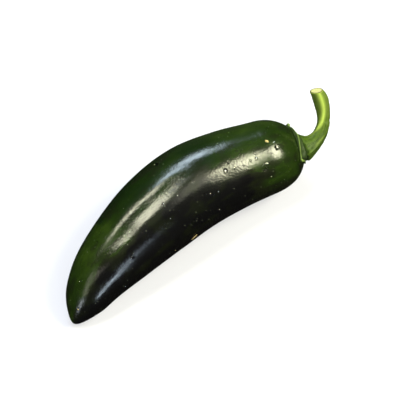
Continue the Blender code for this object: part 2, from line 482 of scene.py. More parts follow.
def wallHeight(angle):
    least, more, at, wide = stemShape["wall"]
    return least + more * hill(turnBetween(angle, at), wide)


def footPlace(angle):
    middle, swing, towards = stemShape["foot"]
    return middle + swing * math.cos(math.radians(angle - towards))


def runOut(share, end):  # 1 low on the stem, 0 from end on
    return 1 - fade(share, stemShape["runOut"] * end, end)


def stemRadius(share, angle):  # with the stem's ribs, which fade towards the cut, and its knee
    radius = throughStations(stemShape["stations"], 1, share)
    radius *= 1 + stemShape["ribDepth"] * (1 - share) * math.cos(math.radians(stemShape["ribs"] * angle))
    for at, height, wide, end in stemShape["sharpRibs"]:
        radius += height * hill(turnBetween(angle, at), wide) * runOut(share, end)
    knee, at, wide, depth = stemShape["knee"]
    narrow, before, broad, swell = stemShape["kneeDent"]
    dent = hill(share - knee, narrow) - swell * hill(share - knee + before, broad)
    radius -= depth * dent * hill(turnBetween(angle, at), wide)
    belly, long, at, wide, height = stemShape["belly"]
    radius += height * hill(share - belly, long) * hill(turnBetween(angle, at), wide)
    at, wide, depth, start, bend = stemShape["shoulder"]
    rounded = depth * max((share - start) / (1 - start), 0.0) ** bend
    return radius - rounded * hill(turnBetween(angle, at), wide)


stemPaintedLight = {
    # painted light and shade on the stem's colour; the painted light line along the stem: share of its
    # length, angle, how strong
    "paintedLightLine": (
        (0.00, 45.0, 0.00),
        (0.14, 45.0, 0.18),
        (0.22, 45.0, 0.30),
        (0.32, 50.0, 0.40),
        (0.42, 74.0, 0.48),
        (0.53, 89.0, 0.63),
        (0.66, 104.0, 0.61),
        (0.77, 113.0, 0.56),
        (0.87, 115.0, 0.62),
        (1.00, 116.0, 0.55),
    ),
    "lineWidths": (19.0, 16.0),  # half widths of the line, on its left and its right
    # how much painted shade each side of the line has at the cut, how much more at the foot, and the shares
    # between
    "right": (0.88, 0.11, 0.3, 0.8),
    "left": (0.93, 0.05, 0.3, 0.6),
    "crossing": (5.0, -10.0, 20.0),  # one side turns into the other this far past the line, from, to
    "leftFrom": 270.0,  # all has the painted shade of the left side from this angle on
    "paleRib": (0.14, 135.0, 171.0, 7.0),  # strength, angle at the foot and at its end, half width
    "paleRibTurns": (0.2, 0.5),
    "paleRibShares": (0.06, 0.2, 0.5, 0.62),  # shares where it starts, is full, fades and ends
    # strength, angle, half width, share of its middle, half length
    "sideRib": (0.06, 118.0, 6.0, 0.42, 0.12),
}


def stemPaintedShade(share, angle):  # painted light and shade: lightest along one painted light line, darkest in painted shade on the inside of the hook
    at, strong = (throughStations(stemPaintedLight["paintedLightLine"], column, share) for column in (1, 2))
    away = turnBetween(angle, at)
    light = strong * hill(away, stemPaintedLight["lineWidths"][0 if away < 0 else 1])
    sides = stemPaintedLight["right"], stemPaintedLight["left"]
    right, left = (least + more * (1 - fade(share, start, end)) for least, more, start, end in sides)
    past, start, end = stemPaintedLight["crossing"]
    plain = left
    if angle < stemPaintedLight["leftFrom"]:
        plain += (right - left) * fade(turnBetween(angle, at + past), start, end)
    strength, foot, top, wide = stemPaintedLight["paleRib"]
    turned = foot + (top - foot) * fade(share, *stemPaintedLight["paleRibTurns"])
    rib = strength * hill(turnBetween(angle, turned), wide) * within(share, *stemPaintedLight["paleRibShares"])
    strength, at, wide, middle, long = stemPaintedLight["sideRib"]
    rib += strength * hill(turnBetween(angle, at), wide) * hill(share - middle, long)
    return min(max(plain * (1 - light) - rib, 0.0), 1.0)


def stemCurve(t):  # the stem's middle line, from the calyx at 0 to the cut at 1
    middle, axis, side, _ = podFrame(1)
    outward, height = stemShape["start"]
    start = middle + height * axis - outward * side
    end = middle + Vector(stemShape["reach"])
    first = start + stemShape["startPull"] * axis
    second = end - stemShape["endPull"] * Vector(stemShape["endDirection"])
    return (1 - t) ** 3 * start + 3 * (1 - t) ** 2 * t * first + 3 * (1 - t) * t**2 * second + t**3 * end


def stemLump(point):
    return sum(height * noise.noise(point / size) for height, size in stemShape["lumps"])


def wrinkle(share, angle):  # short creases across the stem, at its bend
    height, sizeAlong, sizeAround, start, full, end = stemShape["wrinkles"]
    length, radius = stemShape["wrinkleTube"]
    around = across(angle, Vector((0, 1, 0)), Vector((0, 0, 1))) * radius / sizeAround
    place = Vector((length * share / sizeAlong, around.y, around.z))
    return height * noise.noise(place) * fade(share, start, full) * runOut(share, end)


def hookRings():
    heading, side = podFrame(1)[1:3]
    slant, slantUp, slantFrom = stemShape["cutSlant"]
    step = 0.005
    rings = []
    for i in range(stemShape["rings"] + 1):
        share = i / stemShape["rings"]
        onward = (stemCurve(min(share + step, 1)) - stemCurve(max(share - step, 0))).normalized()
        side = heading.rotation_difference(onward) @ side
        heading = onward
        up = heading.cross(side)
        middle = stemCurve(share)
        ring = []
        for angle in stemAngles():
            outward = across(angle, side, up)
            point = middle + (stemRadius(share, angle) + wrinkle(share, angle)) * outward
            away = point - middle
            aslant = fade(share, slantFrom, 1.0) * (slant * away.x + slantUp * away.dot(up))
            ring.append(point + stemLump(point) * outward + aslant * heading)
        rings.append(ring)
    return rings, heading


def faceRing(s, inner, outer, onward):
    # a ring of the calyx's face, from its edge at 0 to the stem at 1
    _, axis, side, up = podFrame(1)
    deep, grooveWidth = stemShape["footGroove"]
    past, knobLong, knobWide = stemShape["knobSize"]
    pullOut, pullUp, pullOn = stemShape["facePulls"]
    lumpHeight, lumpSize = stemShape["faceLumps"]
    full, fading = stemShape["riseShares"]
    riseOut, riseUp = stemShape["riseWay"]
    ring = []
    for i, angle in enumerate(stemAngles()):
        outward = across(angle, side, up)
        leave, arrive = pullOut * outward + pullUp * axis, pullOn * (onward[i] - outer[i])
        point = between(s, inner[i], leave, outer[i], arrive)
        foot = footPlace(angle)
        rise = -deep * hill(s - foot, grooveWidth)
        for at, height in stemShape["knobs"]:
            rise += height * hill(s - foot - past, knobLong) * hill(turnBetween(angle, at), knobWide)
        rise += (stemLump(point) + lumpHeight * noise.noise(point / lumpSize)) * fade(s, 0.0, full)
        ring.append(point + rise * (1 - fade(s, fading, 1.0)) * (riseOut * outward + riseUp * axis))
    return ring


def makeStem(pod):
    skin = skinOf(pod)
    middle, axis, side, up = podFrame(1)
    angles = stemAngles()
    clear = 20.0  # well above the pod
    underside, edgeFoot, edge = -3.0, -2.0, -1.5  # places along the stem's finish, which starts at the hook
    edgeFootRadius, edgeRadius, footRadius, hookRadius = 6.5, 6.3, 4.2, 3.0  # and across it
    # painted shade on the rings of the cut
    cutPaintedShade = 0.6
    rings, place = [], []
    # dim holds the stem's painted shade, from 0 where it is painted lit to 1 where it is painted darkest
    values = {"ridge": [], "foot": [], "cut": [], "dim": [], "crease": []}

    def onPod(radius, angle):
        out = radius * across(angle, side, up)
        return skin.ray_cast((middle + out + clear * axis) * mm, -axis)[0] / mm

    def add(ring, along, radius, **looks):  # a look is one value, or one for each angle
        rings.append(ring)
        turns = [math.radians(angle) for angle in angles]
        place.append([Vector((along, radius * math.cos(turn), radius * math.sin(turn))) for turn in turns])
        for title, rows in values.items():
            value = looks.get(title, 1.0 if title == "dim" else 0.0)
            rows.append(value if isinstance(value, list) else [value] * len(angles))

    gap = stemShape["gap"]
    for radius in stemShape["undersideRadii"]:
        add([onPod(radius, angle) + gap * axis for angle in angles], underside, radius)
    ways = [across(angle, side, up) for angle in angles]
    thick = [ridgeThickness(angle) for angle in angles]
    feet = [onPod(ridgeRadius(angle), angle) + gap * axis for angle in angles]
    cores = [point + (wallHeight(angle) + r) * axis for point, angle, r in zip(feet, angles, thick)]
    out = stemShape["edgeFoot"]
    add([point + out * r * way for point, way, r in zip(feet, ways, thick)], edgeFoot, edgeFootRadius)
    firstRoll, lastRoll, steps = stemShape["roll"]
    for k in range(steps + 1):
        roll = firstRoll + (lastRoll - firstRoll) * k / steps
        ring = [core + r * across(roll, way, axis) for core, r, way in zip(cores, thick, ways)]
        add(ring, edge, edgeRadius, ridge=fade(roll, *stemShape["rollPale"]))
    hook, heading = hookRings()
    inner, outer = rings[-1], hook[0]
    low, high = stemShape["footGreen"]
    for k in range(1, stemShape["faceSteps"]):
        s = k / stemShape["faceSteps"]
        green = [fade(s, footPlace(angle) + low, footPlace(angle) + high) for angle in angles]
        # where the crease at the stem's foot gets painted shade
        sunk = [hill(s - footPlace(angle), stemShape["creaseWidth"]) for angle in angles]
        pale = 1 - fade(s, 0.0, stemShape["facePale"])
        radius = edgeRadius + (footRadius - edgeRadius) * s
        add(faceRing(s, inner, outer, hook[1]), edge * (1 - s), radius, ridge=pale, foot=green, crease=sunk)
    length = sum((b[0] - a[0]).length for a, b in zip(hook, hook[1:]))
    for i, ring in enumerate(hook):
        share = i / stemShape["rings"]
        add(ring, length * share, hookRadius, foot=1.0, dim=[stemPaintedShade(share, angle) for angle in angles])
    end = stemCurve(1)
    cutRadius = stemShape["stations"][-1][1]
    for inset, past in stemShape["cutSteps"]:
        ring = [end + (1 - inset / cutRadius) * (point - end) + past * heading for point in hook[-1]]
        onCut = fade(inset, 0.0, stemShape["cutRim"])
        add(ring, length, cutRadius - inset, foot=1.0, cut=onCut, dim=cutPaintedShade)
    first = middle + (gap - podShape["seatDish"]) * axis
    last = end + stemShape["cutDish"] * heading
    marks = {
        "ridge": (0.0, values["ridge"], 0.0),
        "foot": (0.0, values["foot"], 1.0),
        "cut": (0.0, values["cut"], 1.0),
        "dim": (1.0, values["dim"], 0.0),
        "crease": (0.0, values["crease"], 0.0),
        "skinPlace": (Vector((underside, 0, 0)), place, Vector((length, 0, 0))),
    }
    return shelled("stemAndCalyx", first, rings, last, marks)


# what lies on the skin, placed by the photograph's pixels and set on the pod

drops = {
    # pixel, width across and along the pod, height, turn
    "large": (
        ((265.5, 166.5), (2.6, 3.2), 0.20, 20),
        ((276.6, 147.5), (1.7, 2.1), 0.32, 60),
        ((225.7, 170.4), (1.7, 1.6), 0.75, 0),
        ((228.3, 162.0), (0.9, 1.4), 0.32, 70),
        ((256.3, 158.6), (1.2, 1.3), 0.55, 40),
        ((250.5, 160.9), (0.9, 1.2), 0.45, 80),
        ((255.0, 153.6), (1.0, 0.9), 0.25, 30),
        ((243.6, 165.8), (0.7, 0.8), 0.25, 0),
        ((237.9, 167.0), (0.6, 0.7), 0.22, 0),
        ((234.8, 168.1), (0.6, 1.3), 0.25, 75),
        ((248.4, 164.2), (0.5, 0.5), 0.16, 0),
        ((232.0, 165.0), (0.4, 0.5), 0.14, 0),
        ((241.0, 169.5), (0.4, 0.5), 0.14, 0),
        ((239.0, 171.0), (0.4, 0.4), 0.14, 0),
        ((273.5, 142.3), (0.6, 0.6), 0.25, 0),
        ((271.0, 153.5), (0.8, 0.6), 0.2, 0),
        ((267.4, 129.1), (0.8, 0.6), 0.30, 0),
        ((255.1, 136.0), (0.7, 0.6), 0.28, 0),
        ((265.0, 132.2), (0.5, 0.5), 0.22, 0),
        ((252.0, 134.0), (0.5, 0.5), 0.22, 0),
        ((229.5, 132.5), (0.7, 0.5), 0.25, 30),
        ((157.0, 164.2), (0.8, 2.1), 0.42, 65),
        ((154.6, 165.5), (0.6, 0.7), 0.32, 0),
        ((162.8, 204.0), (1.0, 1.3), 0.36, 40),
        ((132.7, 256.3), (1.6, 2.2), 0.50, 55),
        ((194.9, 220.4), (0.8, 0.7), 0.32, 0),
        ((193.5, 222.5), (0.5, 0.5), 0.22, 0),
        ((105.9, 237.2), (0.8, 0.7), 0.30, 0),
        ((103.8, 239.3), (0.5, 0.6), 0.22, 0),
        ((122.0, 221.5), (0.8, 0.6), 0.30, 0),
        ((193.0, 182.5), (0.8, 0.7), 0.26, 0),
        ((194.5, 181.5), (0.5, 0.5), 0.2, 0),
        ((204.6, 194.0), (0.6, 0.5), 0.24, 0),
        ((207.0, 192.2), (0.45, 0.45), 0.2, 0),
        ((210.2, 193.6), (0.45, 0.45), 0.2, 0),
        ((214.0, 194.5), (0.5, 0.5), 0.22, 0),
        ((218.4, 192.0), (0.5, 0.5), 0.22, 0),
        ((216.0, 190.5), (0.35, 0.4), 0.16, 0),
        ((111.6, 276.4), (0.6, 0.6), 0.24, 0),
        ((288.5, 152.5), (0.6, 0.5), 0.2, 0),
    ),
    "mist": 360,  # how many tiny drops, scattered
    "mistShares": (0.03, 0.95),
    "mistAngles": (20.0, 185.0),
    "mistWidths": (0.18, 0.42),
    "mistBias": 2.5,  # how much commoner the smallest are
    "mistHeight": 0.28,  # as a share of the width
    # rings and sides of a drop, and how far from round it is
    "largeForm": (8, 28, 0.35),
    "mistForm": (4, 12, 0.1),
    "unevenSize": 1.3,
    "roundness": 0.6,
    "sink": 0.05,
    "lean": 0.22,  # how far a drop's top stands to one side, as a share of its width
    "seed": 11,
}


def onSkin(skin, pixel):  # the point of the skin under a pixel, and its normal
    point, normal, _, _ = skin.ray_cast(cameraPlace() * mm, towardsPixel(pixel))
    return point / mm, normal


def addDrop(shape, skin, point, normal, widths, height, turn, form):
    rounds, sides, uneven = form
    sink = drops["sink"]
    flat = (Vector((1, 0, 0)) - normal.x * normal).normalized()
    first = Matrix.Rotation(math.radians(turn), 3, normal) @ flat
    second = normal.cross(first)
    clear = 2.0  # above the skin

    def spot(out, angle, rise):
        place = Vector((math.cos(angle), math.sin(angle), point.x))
        wave = 1 + uneven * noise.noise(place * drops["unevenSize"])
        outline = widths[1] * math.cos(angle) * first + widths[0] * math.sin(angle) * second
        away = out * wave * outline / 2
        away -= (1 - out) * drops["lean"] * widths[0] * second
        hit = skin.ray_cast((point + away + clear * normal) * mm, -normal)[0]
        base = hit / mm if hit else point + away
        return shape.verts.new((base + rise * normal) * mm)

    top = spot(0, 0, height)
    rings = []
    for k in range(1, rounds + 1):
        out = math.sin(0.5 * math.pi * k / rounds)
        rise = (height + sink) * (1 - out**2) ** drops["roundness"] - sink
        rings.append([spot(out, 2 * math.pi * i / sides, rise) for i in range(sides)])
    closedSkin(shape, top, rings, spot(0, 0, -2 * sink))


def makeDrops(skin, shift):
    shape = bmesh.new()
    for pixel, widths, height, turn in drops["large"]:
        addDrop(shape, skin, *onSkin(skin, pixel), widths, height, turn, drops["largeForm"])
    dice = random.Random(drops["seed"])
    low, high = drops["mistWidths"]
    clear = 30.0  # outside the pod
    for _ in range(drops["mist"]):
        share, angle = dice.uniform(*drops["mistShares"]), dice.uniform(*drops["mistAngles"])
        width = low + (high - low) * dice.random() ** drops["mistBias"]
        middle, _, side, up = podFrame(share)
        outward = across(angle, side, up)
        point, normal, _, _ = skin.ray_cast((middle + shift + clear * outward) * mm, -outward)
        height = width * drops["mistHeight"]
        addDrop(shape, skin, point / mm, normal, (width, width), height, 0, drops["mistForm"])
    return finished("waterDrops", shape)


specks = {
    # pixel, width, height of the dry specks
    "spots": (((266.8, 141.1), 1.15, 0.35), ((78.1, 309.4), 0.42, 0.16), ((175.4, 250.2), 0.35, 0.1)),
    "narrow": 0.85,  # a speck's other width, as a share of the first
    "turn": 30,
    "form": (8, 24, 0.5),
    "fibreEnds": ((191.6, 239.6), (196.5, 233.6)),
    "fibreSteps": (16, 10),  # along and round it
    "fibreWidth": 0.42,
    "fibreFlat": 0.35,  # its thickness, as a share of its width
    "fibreRise": (0.06, 0.25, 0.12),  # over the skin: at the start, how much more at the end, its wave
    "fibreBend": 0.12,
    # least width, and where on a half wave it starts, how much of the wave it runs over, how full
    "fibreTaper": (0.15, 0.08, 0.9, 0.8),
}


def makeSpecks(skin):
    shape = bmesh.new()
    for pixel, width, height in specks["spots"]:
        widths = (width, specks["narrow"] * width)
        addDrop(shape, skin, *onSkin(skin, pixel), widths, height, specks["turn"], specks["form"])
    return finished("skinSpecks", shape)


def makeFibre(skin):  # a dry splinter of leaf stalk, stuck to the skin at one end
    (start, startUp), (end, endUp) = (onSkin(skin, pixel) for pixel in specks["fibreEnds"])
    shape = bmesh.new()
    count, sides = specks["fibreSteps"]
    rise, more, wave = specks["fibreRise"]
    least, first, far, full = specks["fibreTaper"]
    along = (end - start).normalized()
    rings = []
    for k in range(count + 1):
        s = k / count
        up = (startUp + s * (endUp - startUp)).normalized()
        side = up.cross(along).normalized()
        middle = start + s * (end - start) + (rise + more * s**2 + wave * math.sin(3 * s)) * up
        middle += specks["fibreBend"] * math.sin(math.pi * s) * side
        half = specks["fibreWidth"] / 2 * (least + math.sin(math.pi * (far * s + first)) ** full)
        ring = []
        for i in range(sides):
            turn = 2 * math.pi * i / sides
            out = half * (math.cos(turn) * side + specks["fibreFlat"] * math.sin(turn) * up)
            ring.append(shape.verts.new((middle + out) * mm))
        rings.append(ring)
    for lower, upper in zip(rings, rings[1:]):
        for i in range(sides):
            j = (i + 1) % sides
            shape.faces.new((lower[i], lower[j], upper[j], upper[i]))
    shape.faces.new(rings[0])
    shape.faces.new(reversed(rings[-1]))
    return finished("driedFibre", shape)


# materials

def newMaterial(name):
    material = bpy.data.materials.new(name)
    material.use_nodes = True
    return material, material.node_tree.nodes, material.node_tree.links


def newGroup(name, inputs, outputs):  # inputs are numbers by name, or None for a vector
    group = bpy.data.node_groups.new(name, "ShaderNodeTree")
    for title, value in inputs.items():
        kind = "NodeSocketVector" if value is None else "NodeSocketFloat"
        socket = group.interface.new_socket(name=title, in_out="INPUT", socket_type=kind)
        if value is not None:
            socket.default_value = value
    for title in outputs:
        group.interface.new_socket(name=title, in_out="OUTPUT", socket_type="NodeSocketFloat")
    return group, group.nodes.new("NodeGroupInput"), group.nodes.new("NodeGroupOutput")


def placeGroup(nodes, links, group, place, values):  # a group with values of its own, fed with a place
    node = nodes.new("ShaderNodeGroup")
    node.node_tree = group
    for title, value in values.items():
        node.inputs[title].default_value = value
    links.new(place, node.inputs["Place"])
    return node


def reckon(nodes, links, kind, *values):  # values are numbers or sockets
    node = nodes.new("ShaderNodeMath")
    node.operation = kind
    for socket, value in zip(node.inputs, values):
        if isinstance(value, float):
            socket.default_value = value
        else:
            links.new(value, socket)
    return node.outputs[0]


def ramp(nodes, links, source, ends, smooth=True):  # 0 at the first end, 1 at the second
    node = nodes.new("ShaderNodeMapRange")
    node.interpolation_type = "SMOOTHSTEP" if smooth else "LINEAR"
    for socket, value in zip((node.inputs["From Min"], node.inputs["From Max"]), ends):
        if isinstance(value, float):
            socket.default_value = value
        else:
            links.new(value, socket)
    links.new(source, node.inputs["Value"])
    return node.outputs["Result"]


def mixColours(nodes, links, mask, first, second, share=1.0):
    # first and second are colours or sockets; mask is a socket that share weakens
    mix = nodes.new("ShaderNodeMix")
    mix.data_type = "RGBA"
    for socket, value in ((mix.inputs["A"], first), (mix.inputs["B"], second)):
        if isinstance(value, tuple):
            socket.default_value = (*value, 1)
        else:
            links.new(value, socket)
    if share != 1.0:
        mask = reckon(nodes, links, "MULTIPLY", mask, share)
    links.new(mask, mix.inputs["Factor"])
    return mix.outputs["Result"]


def makeMottle():
    # soft patches, drawn out along the piece by Stretch
    values = {"Place": None, "Size": 5.0, "Stretch": 1.0, "From": 0.4, "To": 0.6, "Detail": 3.0}
    group, given, made = newGroup("mottle", values, ("Mask",))
    nodes, links = group.nodes, group.links
    parts, joined = nodes.new("ShaderNodeSeparateXYZ"), nodes.new("ShaderNodeCombineXYZ")
    cloud = nodes.new("ShaderNodeTexNoise")
    links.new(given.outputs["Place"], parts.inputs[0])
    drawn = reckon(nodes, links, "DIVIDE", parts.outputs["X"], given.outputs["Stretch"])
    for axis, source in (("X", drawn), ("Y", parts.outputs["Y"]), ("Z", parts.outputs["Z"])):
        links.new(source, joined.inputs[axis])
    links.new(joined.outputs[0], cloud.inputs["Vector"])
    links.new(reckon(nodes, links, "DIVIDE", 1.0, given.outputs["Size"]), cloud.inputs["Scale"])
    links.new(given.outputs["Detail"], cloud.inputs["Detail"])
    ends = (given.outputs["From"], given.outputs["To"])
    links.new(ramp(nodes, links, cloud.outputs["Fac"], ends), made.inputs["Mask"])
    return group


def makeGrain():
    # fine unevenness of the skin as a height, and small pale dots as a mask
    values = {"Place": None, "Grain": 0.5, "Ripple": 2.0, "Ripple Share": 0.5, "Dots": 1.6, "Dot Size": 0.1}
    group, given, made = newGroup("skinGrain", values, ("Height", "Dots"))
    nodes, links = group.nodes, group.links
    dotCore = 0.4  # share of a dot's size that is fully pale
    fine, slow = nodes.new("ShaderNodeTexNoise"), nodes.new("ShaderNodeTexNoise")
    fine.inputs["Detail"].default_value = 3.0
    slow.inputs["Detail"].default_value = 2.0
    cells, height = nodes.new("ShaderNodeTexVoronoi"), nodes.new("ShaderNodeMix")
    for node, title in ((fine, "Grain"), (slow, "Ripple"), (cells, "Dots")):
        links.new(given.outputs["Place"], node.inputs["Vector"])
        links.new(reckon(nodes, links, "DIVIDE", 1.0, given.outputs[title]), node.inputs["Scale"])
    links.new(given.outputs["Ripple Share"], height.inputs["Factor"])
    links.new(fine.outputs["Fac"], height.inputs["A"])
    links.new(slow.outputs["Fac"], height.inputs["B"])
    size = given.outputs["Dot Size"]
    ends = (size, reckon(nodes, links, "MULTIPLY", size, dotCore))
    links.new(height.outputs["Result"], made.inputs["Height"])
    links.new(ramp(nodes, links, cells.outputs["Distance"], ends), made.inputs["Dots"])
    return group


def attribute(nodes, name):
    node = nodes.new("ShaderNodeAttribute")
    node.attribute_name = name
    return node.outputs["Vector" if name == "skinPlace" else "Fac"]


def bumped(nodes, links, height, deep, shader):  # deep in millimetres
    bump = nodes.new("ShaderNodeBump")
    bump.inputs["Strength"].default_value = 1.0
    bump.inputs["Distance"].default_value = deep * mm
    links.new(height, bump.inputs["Height"])
    links.new(bump.outputs["Normal"], shader.inputs["Normal"])


podFinish = {
    "deepGreen": (0.0038, 0.0115, 0.0012),
    "green": (0.0118, 0.0250, 0.0018),
    "freshGreen": (0.0215, 0.0415, 0.0030),
    "olive": (0.0065, 0.0085, 0.0028),  # between the green and the ripe side
    "ripe": (0.0026, 0.0026, 0.0026),
    # pale dots: partly pale specks on the skin, partly painted glints of tiny water drops
    "dots": (0.20, 0.22, 0.15),
    "roughness": (0.145, 0.23),  # where the skin is clean and where it is smeared
    "sheen": 0.08,  # weight and roughness of the broad sheen
    "sheenRoughness": 0.42,
    "relief": 0.065,
    "ragged": {"Size": 4.0, "Stretch": 2.2, "From": 0.35, "To": 0.65, "Detail": 6.0},  # along the ripe edge
    "patches": {"Size": 9.0, "Stretch": 2.0, "From": 0.35, "To": 0.65},  # of deeper green
    "fresh": {"Size": 2.6, "Stretch": 1.8, "From": 0.42, "To": 0.7},
    "smears": {"Size": 2.2, "Stretch": 2.5, "From": 0.35, "To": 0.7},
    "surface": {"Grain": 0.6, "Ripple": 2.4, "Ripple Share": 0.4, "Dots": 1.7, "Dot Size": 0.11},
    "raggedness": 0.55,
    "edgeEnds": (0.27, 1.25),
    "cloudiness": 0.5,
    "deepEnds": (0.25, 1.25),
    "freshShare": 0.7,
    "dotShare": 0.6,
}


def podMaterial(mottle, grain):
    material, nodes, links = newMaterial("podSkinFinish")
    shader = nodes["Principled BSDF"]
    place, ripe, deep = (attribute(nodes, name) for name in ("skinPlace", "ripe", "deep"))
    titles = ("ragged", "patches", "fresh", "smears")
    groups = (placeGroup(nodes, links, mottle, place, podFinish[title]) for title in titles)
    ragged, patches, fresh, smears = (group.outputs["Mask"] for group in groups)
    surface = placeGroup(nodes, links, grain, place, podFinish["surface"])
    rough = reckon(nodes, links, "MULTIPLY_ADD", ragged, podFinish["raggedness"], ripe)
    edge = ramp(nodes, links, rough, podFinish["edgeEnds"], smooth=False)
    cloudy = reckon(nodes, links, "MULTIPLY_ADD", patches, podFinish["cloudiness"], deep)
    deeper = ramp(nodes, links, cloudy, podFinish["deepEnds"], smooth=False)
    colour = podFinish["green"]
    for mask, over, share in (
        (fresh, "freshGreen", podFinish["freshShare"]),
        (deeper, "deepGreen", 1.0),
        (ramp(nodes, links, edge, (0.0, 0.5)), "olive", 1.0),
        (ramp(nodes, links, edge, (0.5, 1.0)), "ripe", 1.0),
        # pale dots, partly specks and partly painted glints of tiny drops
        (reckon(nodes, links, "MULTIPLY", surface.outputs["Dots"], smears), "dots", podFinish["dotShare"]),
    ):
        colour = mixColours(nodes, links, mask, colour, podFinish[over], share)
    links.new(colour, shader.inputs["Base Color"])
    bumped(nodes, links, surface.outputs["Height"], podFinish["relief"], shader)
    gloss = nodes.new("ShaderNodeMapRange")
    gloss.inputs["To Min"].default_value, gloss.inputs["To Max"].default_value = podFinish["roughness"]
    links.new(smears, gloss.inputs["Value"])
    links.new(gloss.outputs["Result"], shader.inputs["Roughness"])
    shader.inputs["Coat Weight"].default_value = podFinish["sheen"]
    shader.inputs["Coat Roughness"].default_value = podFinish["sheenRoughness"]
    return material


stemFinish = {
    # high is the stem's green painted as lit, and low the same green painted in shade; the painted shade in
    # dim mixes them
    "low": (0.024, 0.048, 0.004),
    "high": (0.59, 0.74, 0.13),
    "face": (0.028, 0.045, 0.014),
    # painted shade darkening the crease at the stem's foot
    "crease": (0.012, 0.022, 0.005),
    "edge": (0.15, 0.22, 0.045),
    "pale": (0.26, 0.36, 0.08),
    "streak": (0.11, 0.19, 0.012),
    "cut": (0.48, 0.47, 0.20),
    "cutDark": (0.36, 0.33, 0.12),
    "bark": (0.085, 0.08, 0.022),  # the browned rim of the cut
    "roughness": 0.4,
    "specular": 0.08,
    "coat": 0.03,
    "coatRoughness": 0.16,
    "relief": 0.09,
    "streaks": {"Size": 0.55, "Stretch": 9.0, "From": 0.4, "To": 0.62},
    "patches": {"Size": 1.3, "Stretch": 1.2, "From": 0.42, "To": 0.66},
    "cutGrain": {"Size": 0.35, "Stretch": 1.0, "From": 0.45, "To": 0.7},
    "surface": {"Grain": 0.28, "Ripple": 0.9, "Ripple Share": 0.5, "Dots": 0.8, "Dot Size": 0.2},
    "streakShare": 0.25,
    "patchShare": 0.12,
    "dotShare": 0.16,
    "creaseShare": 0.85,
    "cutShare": 0.8,
    "rimEnds": (0.0, 0.2),
    "insideEnds": (0.75, 1.0),
}


def stemMaterial(mottle, grain):
    material, nodes, links = newMaterial("stemFinish")
    shader = nodes["Principled BSDF"]
    names = ("skinPlace", "ridge", "foot", "cut", "dim", "crease")
    place, ridge, foot, cut, dim, crease = (attribute(nodes, name) for name in names)
    titles = ("streaks", "patches", "cutGrain")
    groups = (placeGroup(nodes, links, mottle, place, stemFinish[title]) for title in titles)
    streaks, patches, cutGrain = (group.outputs["Mask"] for group in groups)
    surface = placeGroup(nodes, links, grain, place, stemFinish["surface"])
    # painted light and shade: the lit green where dim is 0, the shaded green where it is 1
    colour = mixColours(nodes, links, dim, stemFinish["high"], stemFinish["low"])
    colour = mixColours(nodes, links, streaks, colour, stemFinish["streak"], stemFinish["streakShare"])
    colour = mixColours(nodes, links, foot, stemFinish["face"], colour)
    cutTones = (stemFinish["cut"], stemFinish["cutDark"], stemFinish["cutShare"])
    cutColour = mixColours(nodes, links, cutGrain, *cutTones)
    layers = (
        (patches, stemFinish["edge"], stemFinish["patchShare"]),
        (surface.outputs["Dots"], stemFinish["pale"], stemFinish["dotShare"]),
        # painted shade in the crease at the stem's foot
        (crease, stemFinish["crease"], stemFinish["creaseShare"]),
        (ridge, stemFinish["edge"], 1.0),
        (ramp(nodes, links, cut, stemFinish["rimEnds"]), stemFinish["bark"], 1.0),
        (ramp(nodes, links, cut, stemFinish["insideEnds"]), cutColour, 1.0),
    )
    for mask, over, share in layers:
        colour = mixColours(nodes, links, mask, colour, over, share)
    links.new(colour, shader.inputs["Base Color"])
    bumped(nodes, links, surface.outputs["Height"], stemFinish["relief"], shader)
    shader.inputs["Roughness"].default_value = stemFinish["roughness"]
    shader.inputs["Specular IOR Level"].default_value = stemFinish["specular"]
    shader.inputs["Coat Weight"].default_value = stemFinish["coat"]
    shader.inputs["Coat Roughness"].default_value = stemFinish["coatRoughness"]
    return material


waterFinish = {"roughness": 0.03, "ior": 1.333}


def waterMaterial():
    material, nodes, _ = newMaterial("waterFinish")
    shader = nodes["Principled BSDF"]
    shader.inputs["Base Color"].default_value = (1, 1, 1, 1)
    shader.inputs["Roughness"].default_value = waterFinish["roughness"]
    shader.inputs["IOR"].default_value = waterFinish["ior"]
    shader.inputs["Transmission Weight"].default_value = 1.0
    return material


dryFinish = {
    "tan": (0.42, 0.30, 0.10),
    "straw": (0.62, 0.50, 0.22),
    "roughness": 0.7,
    "relief": 0.06,
    "patches": {"Size": 0.35, "Stretch": 1.0, "From": 0.35, "To": 0.65},
    "surface": {"Grain": 0.12, "Ripple": 0.4, "Ripple Share": 0.5, "Dots": 0.3, "Dot Size": 0.2},
    "dotShare": 0.6,
}


def dryMaterial(mottle, grain):
    material, nodes, links = newMaterial("dryFinish")
    shader = nodes["Principled BSDF"]
    way, scale = nodes.new("ShaderNodeTexCoord"), nodes.new("ShaderNodeVectorMath")
    scale.operation = "SCALE"
    scale.inputs["Scale"].default_value = 1 / mm
    links.new(way.outputs["Object"], scale.inputs[0])
    patches = placeGroup(nodes, links, mottle, scale.outputs[0], dryFinish["patches"]).outputs["Mask"]
    surface = placeGroup(nodes, links, grain, scale.outputs[0], dryFinish["surface"])
    dots = surface.outputs["Dots"]
    colour = mixColours(nodes, links, patches, dryFinish["tan"], dryFinish["straw"])
    colour = mixColours(nodes, links, dots, colour, dryFinish["tan"], dryFinish["dotShare"])
    links.new(colour, shader.inputs["Base Color"])
    bumped(nodes, links, surface.outputs["Height"], dryFinish["relief"], shader)
    shader.inputs["Roughness"].default_value = dryFinish["roughness"]
    return material


# the floor, the room and the lamps

floorLook = {
    "half": 3000.0,
    "colour": (0.385, 0.385, 0.44),
    "lift": 0.42,  # light added for the eye, so that the floor stays pale
    "mirrored": (0.014, 0.012, 0.011),  # what glossy skin mirrors of it
    "mirroredFar": (0.055, 0.068, 0.042),  # and beyond the stem end
    "farEnds": (-0.01, 0.04),  # the far part begins between these, in metres
}


def onlyFor(nodes, links, ray, plain, special):  # special is what that kind of ray sees
    path, mix = nodes.new("ShaderNodeLightPath"), nodes.new("ShaderNodeMixShader")
    for source, socket in zip((path.outputs[ray], plain, special), mix.inputs):
        links.new(source, socket)
    return mix.outputs[0]


